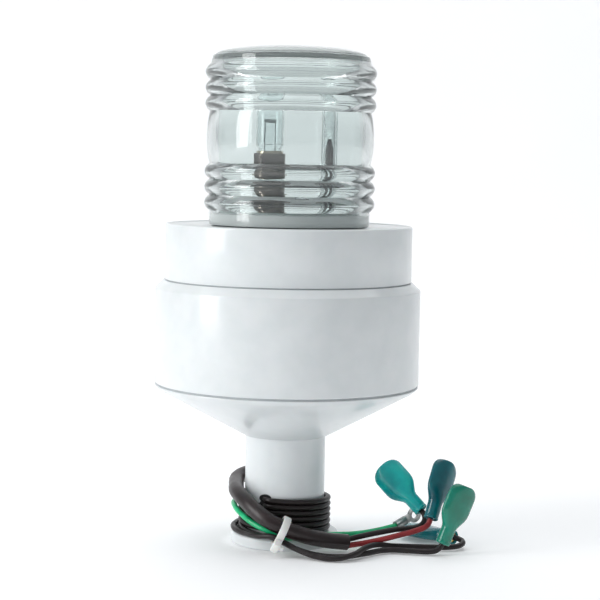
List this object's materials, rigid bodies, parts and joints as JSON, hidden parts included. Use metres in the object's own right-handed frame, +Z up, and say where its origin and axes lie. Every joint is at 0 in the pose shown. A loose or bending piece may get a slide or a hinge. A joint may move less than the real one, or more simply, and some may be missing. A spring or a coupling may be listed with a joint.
{
  "type": "navigation light",
  "caption": "All-round boat navigation light with a clear screw-off ribbed lens, stepped white housing, short threaded stem and a wound lead with spade terminals.",
  "frame": {"origin": "centre of the foot's bottom face", "axes": "+Z up along the stem's and lens's axis, -Y the front, +X towards the wires' ends"},
  "size_m": [0.1105, 0.0912, 0.1709],
  "materials": {
    "white_housing": "gloss",
    "bush_metal": "turned",
    "dark_screw": "dull",
    "black_rubber": "matte",
    "grey_seal": "matte",
    "screw_steel": "plated",
    "board_green": "lacquered",
    "capacitor_sleeve": "gloss",
    "relay_case": "moulded",
    "block_green": "moulded",
    "sheath_brown_black": "satin",
    "wire_black": "satin",
    "wire_red": "satin",
    "wire_green": "satin",
    "platform_grey": "moulded",
    "socket_bronze": "oxidised",
    "insulator_brown": "phenolic",
    "contact_brass": "satin",
    "bracket_dark": "satin",
    "post_clear": "translucent",
    "sensor_red": "gloss",
    "lens_clear": "pressed clear",
    "bulb_base_nickel": "nickel plated",
    "bulb_clear": "clear",
    "filament_metal": "wire",
    "solder": "tinned",
    "tie_white": "nylon",
    "tinned_lug": "tinned",
    "sleeve_cyan": "nylon",
    "sleeve_teal": "nylon",
    "sleeve_sea_green": "nylon",
    "sleeve_blue_green": "nylon"
  },
  "bodies": {
    "housing": {"foot_flange": "white_housing", "threaded_bush": "bush_metal", "stem_tube": "white_housing", "stem_set_screw": "dark_screw", "cable_grommet": "black_rubber", "cone_base": "white_housing", "cone_seal": "grey_seal", "body_drum": "white_housing", "cap_seal": "grey_seal", "top_cap": "white_housing", "cap_screws": "screw_steel", "circuit_board": "board_green", "board_standoffs": "screw_steel", "board_screws": "screw_steel", "capacitor": "capacitor_sleeve", "relay": "relay_case", "terminal_block": "block_green", "inner_cable": "sheath_brown_black", "inner_wires": "wire_black", "lens_collar": "white_housing", "lamp_platform": "platform_grey", "platform_screws": "screw_steel", "lamp_socket": "socket_bronze", "socket_insulator": "insulator_brown", "contact_spring": "contact_brass", "post_bracket": "bracket_dark", "sensor_post": "post_clear", "light_sensor": "sensor_red", "lead_cable": "sheath_brown_black", "lead_black": "wire_black", "lead_red": "wire_red", "wire_black_1": "wire_black", "wire_black_2": "wire_black", "wire_green": "wire_green", "cable_tie": "tie_white", "ring_terminal": "tinned_lug", "terminal_sleeve_1": "sleeve_cyan", "terminal_sleeve_2": "sleeve_teal", "terminal_sleeve_3": "sleeve_sea_green", "terminal_sleeve_4": "sleeve_blue_green", "terminal_metal_1": "contact_brass", "terminal_metal_2": "contact_brass", "terminal_metal_3": "contact_brass", "terminal_metal_4": "contact_brass"},
    "lens_ring": {"lens_gasket": "black_rubber"},
    "lens": {"lens": "lens_clear"},
    "plunger": {"contact_plunger": "contact_brass"},
    "bulb": {"bulb_base": "bulb_base_nickel", "bulb_glass": "bulb_clear", "bulb_filament": "filament_metal", "bulb_contact": "solder"}
  },
  "joints": [
    {"name": "lens_turn", "type": "hinge", "parent": "housing", "child": "lens_ring", "pos_m": [0, 0, 0.1095], "axis": [0, 0, 1], "range_deg": [0, 720]},
    {"name": "lens_lift", "type": "slide", "parent": "lens_ring", "child": "lens", "axis": [0, 0, 1], "range_m": [0, 0.006]},
    {"name": "bulb_push", "type": "slide", "parent": "housing", "child": "plunger", "axis": [0, 0, 1], "range_m": [-0.0015, 0], "stiffness_N_per_m": 1000, "springref_m": 0.002, "deforming": ["contact_spring"]},
    {"name": "bulb_turn", "type": "hinge", "parent": "plunger", "child": "bulb", "pos_m": [-0.007, 0, 0.124], "axis": [0, 0, 1], "range_deg": [0, 20]}
  ],
  "couplings": [
    {"joint": "lens_lift", "follows": "lens_turn", "m_per_rad": 0.00047746}
  ]
}
